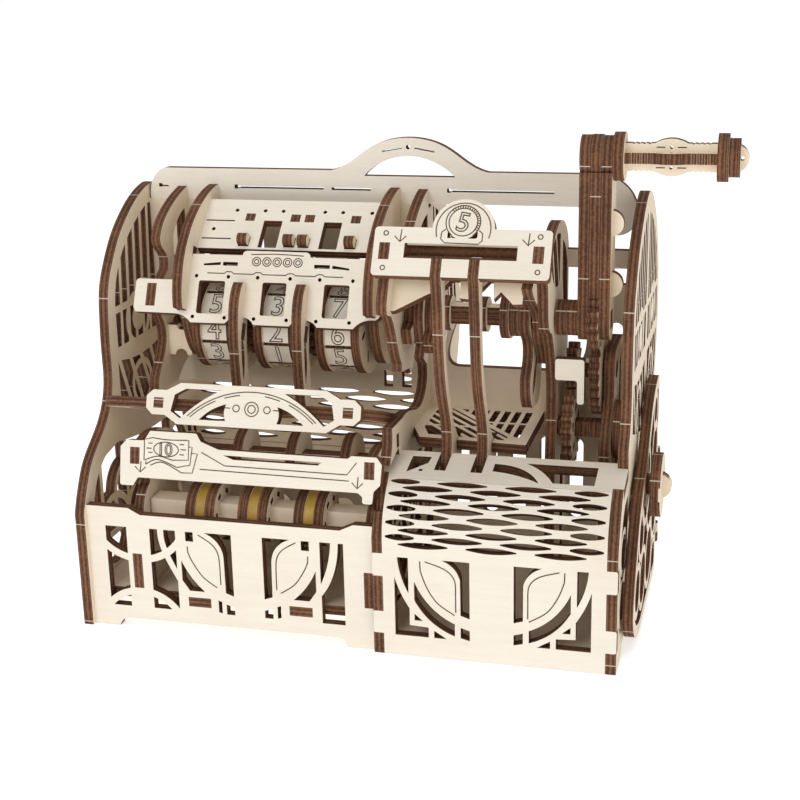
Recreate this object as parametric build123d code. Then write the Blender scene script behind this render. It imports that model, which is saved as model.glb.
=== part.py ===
from build123d import *
import os
from math import atan2, cos, degrees, hypot, pi, radians, sin, sqrt, tan

# A toy cash register of laser-cut plywood.  Almost every piece is a flat outline cut from one
# sheet, so it is drawn in two dimensions and given the sheet's thickness on its own plane.
# The layout is drawn with X from the inner face of the left side panel, Y from just behind the
# front edge, and Z up from the table.  keep() moves it to the middle of the footprint.

# ---- driving dimensions, millimetres ---------------------------------------------------------
SHEET = 4.0                  # plywood thickness
RUN = 0.4                    # radial gap between pieces that turn on each other
SIDE_GAP = 0.6               # gap beside a moving disc
CENTRE = (121.5, 69.75)      # middle of the footprint in layout X and Y

LEFT_X = -SHEET              # layers of the upright frames, by their left faces
INNER_X = 13.2
ROLLER_LEFT_X = 18.4
RIB_LEFT_X = 27.2
GUARD_X = (51.3, 77.3)
RIB_RIGHT_X = 105.4
ROLLER_RIGHT_X = 113.0
MIDDLE_X = 117.0
RAIL_X = (137.0, 151.0)
SWING_X = 165.2
SWAN_X = 170.0
GEAR_IN_X = 174.0
GEAR_OUT_X = 196.0
RIGHT_X = 205.0
DOOR_X = 210.0
COIN_BAY_X = MIDDLE_X + SHEET

FRONT = -1.0                 # front edge of the side panels
BACK = 140.5                 # rearmost point of the side panels
FOOT_BACK = 126.0            # back edge of the side panels at the foot
WALL_Y = 82.3                # front face of the back walls and the carry handle
TOP = 165.0                  # top of the side panels

CRANK = (50.0, 122.0)        # Y, Z of the crank's shaft
CRANK_REACH = 61.2           # from the crank's shaft to the middle of its grip
MODULE = 1.5                 # gear tooth size
CRANK_TEETH = 14
IDLER_TEETH = 22
PINION_TEETH = 12
DRIVE_TEETH = 19
FEED = (16.5, 46.5)          # Y, Z of the note feed shaft
FEED_R = 11.0
PRESS = (31.0, 65.0)         # Y, Z of the pressure wheel shaft
PRESS_R = 11.5
COUNTER = (60.5, 111.4)      # Y, Z of the digit wheel axle
DIGIT_R = 17.3               # across-corner radius of a ten-sided digit drum
HINGE_PIN = (212.0, 103.0)   # X, Y of the side door's pin
KNOB = (50.0, 57.0)          # Y, Z of the side door's knob

NOTE_FRONT_Y = 1.0           # front face of the note box front
NOTE_TOP = 48.0

os.makedirs("parts", exist_ok=True)


def keep(name, *solids):
    """Move finished solids from the layout to the footprint's middle and write them as one node."""
    moved = [Pos(-CENTRE[0], -CENTRE[1], 0) * solid for item in solids for solid in item.solids()]
    export_step(Compound(children=moved) if len(moved) > 1 else moved[0], f"parts/{name}.step")


# ---- flat drawing helpers --------------------------------------------------------------------
def rect(u0, v0, u1, v1):
    return Pos((u0 + u1) / 2, (v0 + v1) / 2) * Rectangle(u1 - u0, v1 - v0)


def disc(centre, radius):
    return Pos(*centre) * Circle(radius)


def ring(centre, radius, width):
    return disc(centre, radius + width / 2) - disc(centre, radius - width / 2)


def outline(*runs):
    """A closed face from runs of points: a list is straight, a tuple is one smooth curve."""
    end, edges = runs[-1][-1], []
    for run in runs:
        points = list(run) if run[0] == end else [end, *run]
        if len(points) > 1:
            path = Spline(*points) if isinstance(run, tuple) else Polyline(*points)
            edges.extend(path.edges())
        end = run[-1]
    return make_face(edges)


def polygon(*points):
    return outline(list(points))


def soft(radius, *points):
    face = polygon(*points)
    return fillet(face.vertices(), radius)


def capsule(start, end, width):
    """A straight slot with round ends."""
    length = hypot(end[0] - start[0], end[1] - start[1])
    middle = ((start[0] + end[0]) / 2, (start[1] + end[1]) / 2)
    angle = degrees(atan2(end[1] - start[1], end[0] - start[0]))
    return Pos(*middle) * Rot(0, 0, angle) * SlotOverall(length + width, width)


def lens(width, height):
    """A slot that narrows to blunt ends, as cut in rows to make plywood bend."""
    half, rise = width / 2 + 1, height / 2
    top = ThreePointArc((-half, 0), (0, rise), (half, 0))
    low = ThreePointArc((half, 0), (0, -rise), (-half, 0))
    return make_face([top, low]) & Rectangle(width, 2 * height)


def mirrored(face, u):
    """A face mirrored about the upright line at u."""
    return Pos(2 * u, 0) * mirror(face, about=Plane.YZ)


def bars(start, end, count, width, tilt=0.0):
    """Evenly spaced parallel bars between two points, each leaning by tilt degrees."""
    made = []
    for i in range(count):
        t = i / (count - 1)
        place = (start[0] + t * (end[0] - start[0]), start[1] + t * (end[1] - start[1]))
        made.append(Pos(*place) * Rot(0, 0, tilt) * Rectangle(width, 260))
    return made


# ---- plates ----------------------------------------------------------------------------------
def upright(x, face, thickness=SHEET):
    """A plate standing front to back, drawn in Y and Z, with its left face at x."""
    return extrude(Plane.YZ.offset(x) * face, thickness)


def level(z, face, thickness=SHEET):
    """A plate lying flat, drawn in X and Y, with its underside at z."""
    return extrude(Plane.XY.offset(z) * face, thickness)


class Slope:
    """A plate that faces the front, leaning back by lean degrees from y, z."""

    def __init__(self, y, z, lean=0.0):
        self.y, self.z, self.lean = y, z, radians(lean)

    def point(self, v, depth=0.0):
        """Y and Z at height v up the front face and depth behind it."""
        up, back = (sin(self.lean), cos(self.lean)), (cos(self.lean), -sin(self.lean))
        return (self.y + v * up[0] + depth * back[0], self.z + v * up[1] + depth * back[1])

    def plate(self, face, depth=0.0, thickness=SHEET):
        """The plate itself, drawn in X and v, with its front face depth behind the slope."""
        normal = (0, -cos(self.lean), sin(self.lean))
        plane = Plane(origin=(0, *self.point(0, depth)), x_dir=(1, 0, 0), z_dir=normal)
        return extrude(plane * face, -thickness)

    def strip(self, v0, v1, depth=0.0, thickness=SHEET):
        """The plate's section in Y and Z, from v0 to v1."""
        last = depth + thickness
        return polygon(self.point(v0, depth), self.point(v1, depth),
                       self.point(v1, last), self.point(v0, last))


NOTE_FRONT = Slope(NOTE_FRONT_Y, 0)
NAME = Slope(9.0, 92.0, 20)
NOTE_SLOT = Slope(5.0, 68.0, 12)
COUNTER_FACE = Slope(38.4, 117.0, 25)
COIN_SLOT = Slope(15.0, 144.0, 30)
ROOF = Slope(54.6, 142.8, 47)
WALL = Slope(WALL_Y, 0)


# ---- gears, shafts and discs -----------------------------------------------------------------
def gear_face(teeth, phase=0.0, slack=0.16):
    """An involute gear; phase turns one tooth's middle to that angle, in degrees."""
    pitch = MODULE * teeth / 2
    base, tip, root = pitch * cos(radians(20)), pitch + 0.9 * MODULE, pitch - 1.15 * MODULE
    half = pi / (2 * teeth) - slack / (2 * pitch)
    roll = tan(radians(20)) - radians(20)

    def flank(radius):
        """Half of the tooth's angle at a radius."""
        if radius <= base:
            return half + roll
        angle = sqrt((radius / base) ** 2 - 1)
        return half + roll - (angle - atan2(angle, 1))

    radii = [root, max(root + 0.1, base * 1.001), pitch, (pitch + tip) / 2, tip]
    points = []
    for tooth in range(teeth):
        middle = radians(phase) + 2 * pi * tooth / teeth
        for side, order in ((-1, radii), (1, radii[::-1])):
            for radius in order:
                angle = middle + side * flank(radius)
                points.append((radius * cos(angle), radius * sin(angle)))
    return polygon(*points)


def square_shaft(x0, x1, centre, across, journals, radius):
    """A square bar from x0 to x1 with a round journal through each frame in journals."""
    bar = upright(x0, Pos(*centre) * Rectangle(across, across), x1 - x0)
    for x in journals:
        low, high = max(x - SIDE_GAP, x0), min(x + SHEET + SIDE_GAP, x1)
        bar -= upright(low, Pos(*centre) * Rectangle(2 * across, 2 * across), high - low)
        bar += upright(low, disc(centre, radius), high - low)
    return bar


def disc_on(x, centre, radius, across, thickness=SHEET, cuts=()):
    """A plywood disc with a square hole, standing at x on a square shaft."""
    face = disc(centre, radius) - Pos(*centre) * Rectangle(across, across)
    return upright(x, face - list(cuts) if cuts else face, thickness)


SHAFT = 7.0                  # across the crank's shaft
JOURNAL = 4.0                # radius of a journal in a frame
SLIM = 6.0                   # across the smaller shafts
SLIM_JOURNAL = 3.0
BEARING = JOURNAL + RUN
SLIM_BEARING = SLIM_JOURNAL + RUN
SWAN_BORE = SHAFT / sqrt(2) + RUN


# ---- side panels -----------------------------------------------------------------------------
FOOT_FRONT = (14.0, 94.0)
PROFILE = ((0, 50), (4, 58), (8, 64), (18, 72), (28, 80.5), (33, 91), (33.4, 104),
           (34, 118), (36, 130), (42, 140), (49, 148), (59, 155.5), (72, 162), (85, TOP))
SIDE_BACK = ((85, TOP), (99, 162), (112, 155), (124, 145), (133, 133), (138.6, 119), (140.4, 105),
             (138.4, 92), (133.6, 80), (129.6, 68), (127, 54), (FOOT_BACK, 40))


def feet():
    """The shallow arch that leaves two feet under a side panel."""
    front, back = FOOT_FRONT
    return outline([(front, 0), (front + 3, 4), (back - 3, 4), (back, 0)])


def side_outline():
    body = outline([(FRONT, 0), (FRONT, 32)], PROFILE, SIDE_BACK, [(FOOT_BACK, 0)])
    return (body - feet()) & rect(FRONT, 0, BACK, TOP)


def rear_organ_window():
    """The upper window behind the walls, under the rim's rear half."""
    return outline([(90, 104), (90, 156.5)], ((100, 153), (112, 146.5), (123, 136), (130, 122)), [(132, 104)])


def organ_window():
    """The upper window in front of the walls, under the curved rim."""
    return outline([(41, 104), (41, 120)], ((48, 138), (62, 149.5), (78, 157)), [(82, 157), (82, 104)])


def fan_holes():
    """Tall openings between upright bars, with medallions and ring work below them."""
    upper = organ_window() - bars((47.5, 130), (76, 130), 5, 2.4, -4) - [
        rect(40, 118, 84, 121), ring((62, 112), 10.5, 2.6), disc((62, 112), 5.5)]
    rear = rear_organ_window() - bars((95, 130), (125, 130), 5, 2.4, 4) - [
        rect(89, 118, 134, 121), ring((111, 112), 10.5, 2.6), disc((111, 112), 5.5)]
    middle = outline([(40, 80), (40, 99)], ((60, 96), (82, 98)), [(82, 88)], ((86, 78), (82, 70)),
                     ((60, 74), (40, 80)))
    middle = middle - bars((46, 88), (76, 88), 4, 2.6, 24) - ring((62, 84), 9, 2.6)
    low = outline([(92, 74), (92, 99), (131, 99)], ((129.5, 90), (124, 76)))
    low = low - bars((99, 88), (121, 88), 3, 2.6, -24) - ring((109, 86), 9, 2.6)
    return [upper, rear, middle, low]


def foot_holes():
    """Interlaced rings in the lower half of a side panel."""
    window = outline([(8, 12), (8, 46)], ((12, 56), (22, 64)), [(34, 66)], ((60, 62), (98, 62)),
                     ((113, 54), (117, 40)), [(118, 12)])
    web = [ring((26 + 27 * k, 30), 15, 3) for k in range(4)]
    web += [ring((40 + 27 * k, 44), 12, 2.6) for k in range(3)] + [rect(0, 28.5, 120, 31.5)]
    web += [disc((40 + 27 * k, 30), 4) for k in range(3)]
    return window - web - bars((16, 40), (112, 40), 5, 2.6)


COIN_TAB_Z = (8.4, 32.0)      # undersides of the coin box front's side tabs
HINGE_END = (11.6, 67.0)     # where the coin box's bend meets its flat top
TOP_PLATE = (31.0, 71.2)     # back edge of the coin box's flat top
TOP_RUN, TOP_RISE = TOP_PLATE[0] - HINGE_END[0], TOP_PLATE[1] - HINGE_END[1]
COIN_TOP = Slope(*HINGE_END, degrees(atan2(TOP_RUN, TOP_RISE)))
COIN_TOP_DEPTH = hypot(TOP_RUN, TOP_RISE)
COIN_TOP_TAB = (0.8, COIN_TOP_DEPTH - 3.5)


def coin_box_seats(headroom):
    """The notches in a panel that hold the coin box's front and top; the top one is open above."""
    low, high = COIN_TOP_TAB
    top = COIN_TOP.strip(low, high, -headroom, SHEET + headroom)
    return [rect(FRONT - 1, z, FRONT + SHEET, z + 9) for z in COIN_TAB_Z] + [top]


def left_panel():
    return upright(LEFT_X, side_outline() - fan_holes() - foot_holes())


def right_panel():
    door_way = soft(3, (34, 24), (70, 24), (70, 54), (34, 54))
    rings = [ring((16, 22), 9, 2.8), ring((16, 42), 8, 2.6), ring((86, 22), 9, 2.8), ring((83, 43), 9, 2.6),
             ring((108, 26), 13, 2.8)]
    window = outline([(8, 12), (8, 46)], ((12, 54.6), (19, 59.6)), [(28, 60), (28, 12)])
    rear = outline([(76, 12), (76, 56)], ((94, 58), (112, 52), (118, 40)), [(118, 12)])
    lower = [window - rings[:2] - rect(0, 30, 40, 32.6), rear - rings[2:] - rect(70, 30, 120, 32.6)]
    return upright(RIGHT_X, side_outline() - fan_holes() - lower - door_way - coin_box_seats(10))


def middle_panel():
    """The frame between the note bay and the coin bay, with a deep rounded bite in its front."""
    bite = ((52, 81), (66, 80), (75, 88), (73, 97), (64, 104), (55.5, 103.8))
    hook = [(54.2, 101), (47.8, 97.4), (45.9, 100), (34, 101.8), (34.4, 104.9)]
    slope = [(14, 129), (13.7, 133), COIN_SLOT.point(-2, SHEET), COIN_SLOT.point(17.5, SHEET)]
    face = outline([(FRONT, 0), (FRONT, 32)], ((0, 50), (4, 58), (8, 64), (13, 70), (17, 77), (17.5, 84)),
                   [(34, 83.3)], bite, hook, ((30.9, 109.4), (27.4, 116), (20, 127)), slope,
                   ((34, 150), (47, 149.6), (57, 153.6), (64.8, 158.2), (74.5, 162.5), (85, TOP)),
                   SIDE_BACK, [(FOOT_BACK, 0)])
    face = (face - feet()) & rect(FRONT, 0, BACK, TOP)
    upper = outline([(62, 128), (64, 148)], ((72, 153), (80, 155)), [(80, 122)], ((70, 122), (62, 128)))
    rear = rear_organ_window() - bars((95, 130), (125, 130), 5, 2.4, 4) - rect(89, 118, 134, 121)
    holes = [disc(CRANK, BEARING), rect(24, 74, 27.5, 79.5), foot_holes(), upper, rear]
    face = face - holes + COIN_SLOT.strip(*SLOT_TENON) - NOTE_SLOT.strip(-12, 10) - coin_box_seats(3.2)
    face = face - rect(WALL_Y, 157, WALL_Y + SHEET, TOP + 1)
    return upright(MIDDLE_X, face + disc(CRANK, BEARING + 4) - disc(CRANK, BEARING))


# ---- carry handle and back walls -------------------------------------------------------------
def carry_handle_plate():
    body = outline([(0.6, 158.7)], ((1, 163.7), (3.4, 168.9), (10, 171.6)), [(80.4, 171.6)],
                   ((86, 173.6), (98, 181.5), (113, 185), (128, 181.5), (140, 173.6), (145.6, 171.6)),
                   [(188, 171.6)], ((197, 169.5), (203, 163.5), (204.6, 155)), ((202, 149.6), (196, 147.7)),
                   [(190, 147.7), (186, 151)], ((184.5, 156), (181, 158.7)))
    grip = outline([(94.4, 169.5), (132.2, 169.5)],
                   ((123, 175.6), (113.2, 177.7), (103, 175.6), (94.4, 169.5)))
    lines = [rect(4.6, 163.7, 9, 164.5), rect(4.6, 163.5, 6, 165), rect(38.3, 163.6, 77, 164.5),
             rect(38.3, 163.3, 39.9, 165), rect(80.4, 163.5, 97, 164.5), rect(128.7, 163.6, 172, 164.5),
             rect(128.7, 163.3, 130.2, 165), disc((112.9, 181.3), 0.9)]
    dashes = []
    for u, tilt in ((106.3, 10), (119.6, -10)):
        dashes.append(Pos(u, 180.2) * Rot(0, 0, tilt) * Rectangle(8.4, 0.5))
    return WALL.plate(body - [grip] - lines - dashes)


def left_back_wall():
    body = rect(0, 79, MIDDLE_X, 158.7)
    holes = [rect(100.7, 81, 104.5, 88), rect(108.5, 81, 112.5, 88), capsule((7, 112), (7, 132), 7),
             capsule((109, 98), (109, 104), 6)]
    for u in (24, 46, 68, 90):
        holes.append(capsule((u, 126), (u, 146), 8))
    return WALL.plate(body - holes)


def right_back_wall():
    body = outline([(COIN_BAY_X, 3), (RIGHT_X, 3), (RIGHT_X, 128), (191, 128)], ((187, 124), (185.6, 112),
                   (184, 97), (179, 91.2)), [(133, 91.2)], ((129.5, 92.5), (128.4, 98), (133, 118)),
                   [(COIN_BAY_X, 118)])
    holes = [polygon((123.5, 96), (126.5, 96), (129, 111)), polygon((123.5, 100), (123.5, 115), (129, 115)),
             capsule((197.5, 100), (197.5, 110), 5), capsule((197.5, 84), (197.5, 88), 5)]
    holes += [capsule((u, 30), (u, 60), 6) for u in (134, 146, 158, 170, 182, 194)]
    return WALL.plate(body - holes)


def offset_points(points, distance):
    """Points moved square to the curve through them, by the slope between neighbours."""
    moved = []
    for i, (y, z) in enumerate(points):
        before, after = points[max(i - 1, 0)], points[min(i + 1, len(points) - 1)]
        dy, dz = after[0] - before[0], after[1] - before[1]
        length = hypot(dy, dz)
        moved.append((y + distance * dz / length, z - distance * dy / length))
    return moved


def bent_sheet(points, x0, x1, inward):
    """A sheet bent along a smooth line in Y and Z."""
    inner = offset_points(points, inward)
    edges = [*Spline(*points).edges(), *Line(points[-1], inner[-1]).edges(),
             *Spline(*inner[::-1]).edges(), *Line(inner[0], points[0]).edges()]
    return upright(x0, make_face(edges), x1 - x0)


def hinge_slots(points, x0, x1, rows, span, start, width=19.0, height=2.5, pitch=25.7):
    """Staggered rows of slots, cut square to the bent sheet between two fractions of its length."""
    line = Spline(*points)
    cutters = []
    for row in range(rows):
        t = span[0] + row * (span[1] - span[0]) / (rows - 1)
        spot, run = line @ t, line % t
        plane = Plane(origin=(0, spot.X, spot.Y), x_dir=(1, 0, 0), z_dir=(0, -run.Y, run.X))
        first = x0 + start + (pitch / 2 if row % 2 else 0)
        count = int((x1 - first) / pitch) + 2
        for i in range(count):
            middle = first + (i - 0.5) * pitch
            low, high = max(middle - width / 2, x0 + 1.2), min(middle + width / 2, x1 - 1.2)
            if high - low > 4:
                cut = Pos((low + high) / 2, 0) * lens(high - low, height)
                cutters.append(extrude(plane * cut, 7, both=True))
    return cutters


REAR_LINE = ((134, 92), (129.6, 80), (126, 68), (123.6, 55), (122.6, 40))
REAR_INSIDE = REAR_LINE[-1][0] - SHEET


def rear_cover():
    """The note bay's back: a plain lower wall and a slotted upper part that bends backward."""
    bend = bent_sheet(REAR_LINE, 0, MIDDLE_X, SHEET)
    bend = bend - hinge_slots(REAR_LINE, 0, MIDDLE_X, 16, (0.05, 0.94), 4.0)
    lower = Slope(REAR_INSIDE, 0).plate(rect(0, 5, MIDDLE_X, 40.02))
    return bend + lower


# ---- note bay --------------------------------------------------------------------------------
def leaf_openings():
    """The openings round one leaf of the note box front, drawn for the left leaf."""
    return [outline([(49, 42.6), (60.1, 42.6), (60.1, 16.8), (56.8, 18), (56.6, 33)],
                    ((55, 38), (49, 42.6))),
            outline([(38.9, 30.5), (38.9, 21.9), (41.8, 17.7), (48.2, 17.7)], ((43.2, 23), (38.9, 30.5))),
            polygon((53.5, 14.6), (55, 14.1), (55, 9.1), (53.5, 9.6)),
            polygon((56.8, 13.2), (60.2, 12), (60.2, 8.9), (56.8, 8.9)),
            rect(41.2, 38.6, 44.4, 42.5)]


NOTE_MIDDLE = 66.4           # the two leaves mirror about this X


def note_box_front():
    body = outline([(0, 0), (10.8, 0)], ((12.2, 2.4), (16, 3.6)), [(101, 3.6)], ((104.8, 2.4), (106.2, 0)),
                   [(MIDDLE_X, 0), (MIDDLE_X, 50.6), (109.3, 50.6), (104, NOTE_TOP), (22.7, NOTE_TOP),
                    (17.8, 50.6), (0, 50.6)])
    window = rect(7.7, 8.9, 16.5, 42.6) + rect(26.2, 8.9, 37, 42.6)
    sweep = outline([(31.3, 44), (29.7, 44)], ((29.9, 38), (33, 29), (38.5, 18.5)),
                    [(38.5, 23)], ((35, 30.5), (32.6, 37), (32.4, 44)))
    window = window - [ring((21.3, 50.2), 20.8, 2.9), ring((21.3, -2.6), 18.4, 2.9), sweep]
    right = [outline([(95.8, 42.6), (100.1, 42.6)], ((99, 34.5), (95.8, 25.2))),
             outline([(103.1, 42.6), (105.2, 42.6), (105.2, 9), (96, 9), (96, 20.3)],
                     ((100, 27), (102.4, 35.2), (103.1, 42.6)))]
    leaves = leaf_openings()
    leaves += [mirrored(leaf, NOTE_MIDDLE) for leaf in leaves]
    slots = [rect(x, 17, x + SHEET, 31.6) for x in (ROLLER_LEFT_X, ROLLER_RIGHT_X)]
    slots += [rect(41, 11, 50.4, 15), rect(82.7, 11, 92.1, 15)]
    return NOTE_FRONT.plate(body - window - right - leaves - slots)


def note_floor():
    plate = rect(0, 5, MIDDLE_X, REAR_INSIDE - 0.1)
    return level(11, plate + [rect(41, 1, 50.4, 5), rect(82.7, 1, 92.1, 5)])


def roller_frame(x):
    """An upright that carries the feed shaft in a round nose and the pressure shaft above it."""
    face = outline([(5, 15), (5, 33)], ((6.5, 38), (9, 41)), [(12, 56)], ((14, 60), (11, 63)),
                   [NOTE_SLOT.point(-6, SHEET), NOTE_SLOT.point(8, SHEET)],
                   ((16, 76.2), (26, 75.6), (36, 72.6)), ((43, 67), (45, 58), (40, 46)), [(60, 15)])
    face = face + disc(FEED, FEED_R) + NOTE_SLOT.strip(*TENON_SLOT) + rect(NOTE_FRONT_Y, 17, 5, 31.6)
    holes = [disc(FEED, BEARING), disc(PRESS, SLIM_BEARING), capsule((24, 24), (24, 34), 5),
             capsule((36, 24), (36, 40), 6)]
    return upright(x, face - holes)


TENON_SLOT = (-0.3, 6.3)     # along the note slot plate, the height of its tenons


def note_slot_plate():
    """The plate a banknote slides down behind."""
    body = soft(0.9, (14.4, -8.8), (19.9, -8.8), (21.8, -5.5), (110.8, -5.6), (112.6, -7), (112.6, -9.6),
                (116.5, -9.6), (116.9, -4.8), (119.4, -2.2), (119.8, 5.5), (117.8, 8.2), (107.9, 8.2),
                (106.6, 7.1), (55, 7.3), (47.6, 10), (45.8, 13), (26.7, 13), (24.3, 9.1), (17, 9),
                (14.4, 6.4))
    slit = polygon((56.8, 5.3), (96.4, 5), (94.9, 3.8), (61, 3.8))
    slots = [rect(x, TENON_SLOT[0], x + SHEET, TENON_SLOT[1]) for x in (ROLLER_LEFT_X, ROLLER_RIGHT_X)]
    return NOTE_SLOT.plate(body - slit - slots)


NAME_MIDDLE = 68.4


def nameplate():
    body = soft(1.3, (33.3, -4.6), (38.4, -7.9), (98.4, -7.9), (103.5, -4.6), (108.8, -4.6), (111.4, -2.2),
                (111.4, 2.6), (108.8, 5), (103.2, 5), (97.6, 8), (39.2, 8), (33.6, 5), (28, 5), (25.4, 2.6),
                (25.4, -2.2), (28, -4.6))
    side = outline([(41.4, 5.9), (55.6, 5.9)], ((47.4, 1), (39.6, -5.6)), [(35.6, -3), (36.9, 3.4)])
    corner = outline([(47.4, -5.7)], ((52.4, -1.6), (58.2, 0.8)), ((57.4, -2.5), (58.2, -5.7)))
    slot = rect(28.4, -2, 32.4, 2)
    shapes = [side, corner, slot]
    return NAME.plate(body - shapes - [mirrored(shape, NAME_MIDDLE) for shape in shapes])


SHELF_BACK = 33.0            # how far the nameplate shelf runs back along its own slope


def nameplate_shelf():
    """The curved shelf square to the nameplate, held between the left and middle frames."""
    plane = Plane(origin=(0, *NAME.point(2)), x_dir=(1, 0, 0), z_dir=(0, sin(NAME.lean), cos(NAME.lean)))
    body = outline([(28.4, 0), (32.4, 0), (32.4, 4), (104.4, 4), (104.4, 0), (108.4, 0), (108.4, 4)],
                   ((114, 9), (MIDDLE_X, 18)), [(MIDDLE_X, SHELF_BACK), (0, SHELF_BACK), (0, 18)],
                   ((6, 10), (14, 7), (28.4, 5)))
    bite = outline([(9, 21)], ((18, 11.5), (34, 8.5)), [(103, 8.5)], ((109, 13), (111, 21)),
                   ((104, 26), (60, 28), (20, 26), (9, 21)))
    slots = rect(ROLLER_LEFT_X - 4, 30, ROLLER_LEFT_X + SHEET + 1, SHELF_BACK + 1)
    return extrude(plane * (body - bite - slots), -SHEET)


def note_chute():
    """The flat plate that guides a note past the pressure wheels, down to the floor."""
    slope = Slope(48.0, 15.0, -14)
    body = rect(24, 0, 110, 40) - [capsule((u, 10), (u, 28), 8) for u in (40, 67, 94)]
    return slope.plate(body)


FEED_X = (45.8, 67.4, 90.1)  # middles of the feed rollers
PRESS_X = (57.0, 79.0, 101.0)
FEED_BAR = 9.0


def feed_shaft():
    x0, x1 = ROLLER_LEFT_X - 1.0, ROLLER_RIGHT_X + SHEET - RUN
    return square_shaft(x0, x1, FEED, FEED_BAR, (ROLLER_LEFT_X, ROLLER_RIGHT_X), JOURNAL)


def feed_discs():
    cuts = [Pos(*FEED) * Rot(0, 0, 60 * k) * Pos(7.9, 0) * Rectangle(2, 3) for k in range(6)]
    return [disc_on(x + side, FEED, FEED_R, FEED_BAR, cuts=cuts)
            for x in FEED_X for side in (-6, 2)]


def feed_bands():
    """Rubber bands stretched on narrow cores between the paired discs."""
    return [disc_on(x - 2, FEED, FEED_R - 0.5, FEED_BAR) for x in FEED_X]


def press_shaft():
    x0, x1 = ROLLER_LEFT_X - 1.0, ROLLER_RIGHT_X + SHEET - RUN
    return square_shaft(x0, x1, PRESS, SLIM, (ROLLER_LEFT_X, ROLLER_RIGHT_X), SLIM_JOURNAL)


def press_wheels():
    return [disc_on(x - SHEET / 2, PRESS, PRESS_R, SLIM) for x in PRESS_X]


# ---- coin counter ----------------------------------------------------------------------------
RIB_SLOT = (5, 14)           # along the counter face, the height of a rib's tenon
GUARD_SLOT = (0.5, 12)       # and of a guard's
ROOF_TOP = 25.6


def rib(x):
    """A curved rib that hooks over the counter face and carries the roof and the digit axle."""
    face = outline([(WALL_Y, TOP)], ((75, 164), (67, 161.7), (59, 158.2), (52.6, 154.3), (46.9, 149.3),
                   (42, 143.5), (38.6, 137), (36.4, 129.5), (36.2, 122.9)), [(39.5, 121.6), (44, 118)],
                   ((47, 108), (52, 101), (60, 98)), [(WALL_Y, 98)])
    window = outline([(62, 128), (62, 138)], ((68, 145), (78, 149)), [(78, 128)])
    face = face - window - disc(COUNTER, SLIM_JOURNAL) - COUNTER_FACE.strip(-4, 31)
    return upright(x, face + COUNTER_FACE.strip(*RIB_SLOT))


def guard(x):
    """A slim curved horn between two digit wheels, from the counter face down to the shelf."""
    foot = [NAME.point(2.02, 28.2), NAME.point(2.02, 32.4)]
    face = outline([(41.5, 133)], ((36.4, 128), (33.4, 119), (32.6, 108), (33.2, 97), (34.4, 87.5)),
                   foot, ((42.6, 92), (41.8, 104), (43.6, 116), (47, 127)), [(47.4, 131)])
    slit = outline([(36.8, 114)], ((35.8, 106), (36.4, 94)), ((38.8, 105), (36.8, 114)))
    face = face - slit - COUNTER_FACE.strip(-6, 19)
    return upright(x, face + COUNTER_FACE.strip(*GUARD_SLOT))


WINDOW_X = ((35.2, 46.3), (62, 72), (87.5, 97.8))
DOT_X = (33.9, 47.4, 59.7, 73.2, 85.4, 98.9)
INNER_SLOT = (5.8, 15.1)     # the tab's slot for the inner frame's tenon


def counter_face_plate():
    """The plate the digits show through, with a raised middle and a tab on its left."""
    body = outline([(8.2, 5), (9.2, 3.2), (26.3, 3.1)], ((30.4, 2), (33.2, -0.3)), [(47.8, -0.2)],
                   ((49.4, 1.3), (58.4, 1.3), (59.6, -0.3)), [(74.6, -0.3)],
                   ((76, 1.1), (84.6, 1.1), (85.8, -0.3)), [(100.6, -0.3)],
                   ((103.6, 2.4), (109.1, 3.4)), ((110.8, 5), (110.2, 7.4)),
                   [(106.6, 8.4), (106.2, 27.5), (80.8, 27.5)], ((79.8, 29.2), (78.6, 29.5)), [(54.2, 29.5)],
                   ((53.1, 29), (52.5, 27.6)), [(31.4, 27.6), (30.2, 16.8), (10, 16.8)],
                   ((8.7, 16.4), (8.2, 15.4)))
    holes = [soft(0.9, (a, 3.5), (b, 3.5), (b, 16.9), (a, 16.9)) for a, b in WINDOW_X]
    holes += [disc((u, v), 0.75) for u in DOT_X for v in (2.1, 18.7)]
    holes += [polygon((36.5, 23), (43.6, 23.4), (43.6, 24.6), (36.5, 23.8)), rect(44.6, 23.2, 50.8, 24.7),
              rect(82.6, 23.2, 89, 24.7), polygon((97, 22.8), (90, 23.3), (90, 24.6), (97, 23.6))]
    holes.append(rect(INNER_X, INNER_SLOT[0], INNER_X + SHEET, INNER_SLOT[1]))
    holes += [rect(x, RIB_SLOT[0], x + SHEET, RIB_SLOT[1]) for x in (RIB_LEFT_X, RIB_RIGHT_X)]
    holes += [rect(x, GUARD_SLOT[0], x + SHEET, GUARD_SLOT[1]) for x in GUARD_X]
    return COUNTER_FACE.plate(body - holes)


PAWL_X = (48.4, 67.6, 73.6, 92.9)


def roof_plate():
    body = rect(RIB_LEFT_X + SHEET, 1, RIB_RIGHT_X, ROOF_TOP)
    holes = [rect(56.6, 2, 64.4, 15.3), rect(82, 2, 89.5, 15.2)]
    holes += [disc((u, 20.2), 0.8) for u in (44, 56.1, 63.8, 81.4, 88.9, 101)]
    for x in PAWL_X:
        holes += [rect(x, 15, x + SHEET, 18.7), rect(x - 0.3, 2.4, x + SHEET + 0.3, 7)]
    holes += [rect(31.8, 14.6, 44.1, 15.2), rect(31.8, 5.6, 44.4, 6.2), disc((36, 10.6), 0.8)]
    return ROOF.plate(body - holes)


def roof_pawls():
    """Four short levers under the roof, each with a square tenon and a round nose above it."""
    made = []
    for x in PAWL_X:
        nose = disc(ROOF.point(4.8, -1.6), 2.4) + ROOF.strip(3.4, 6.2, -1, SHEET + 3)
        made.append(upright(x, nose + ROOF.strip(15, 18.7) + ROOF.strip(2.6, 20, SHEET, 5)))
    return made


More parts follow.
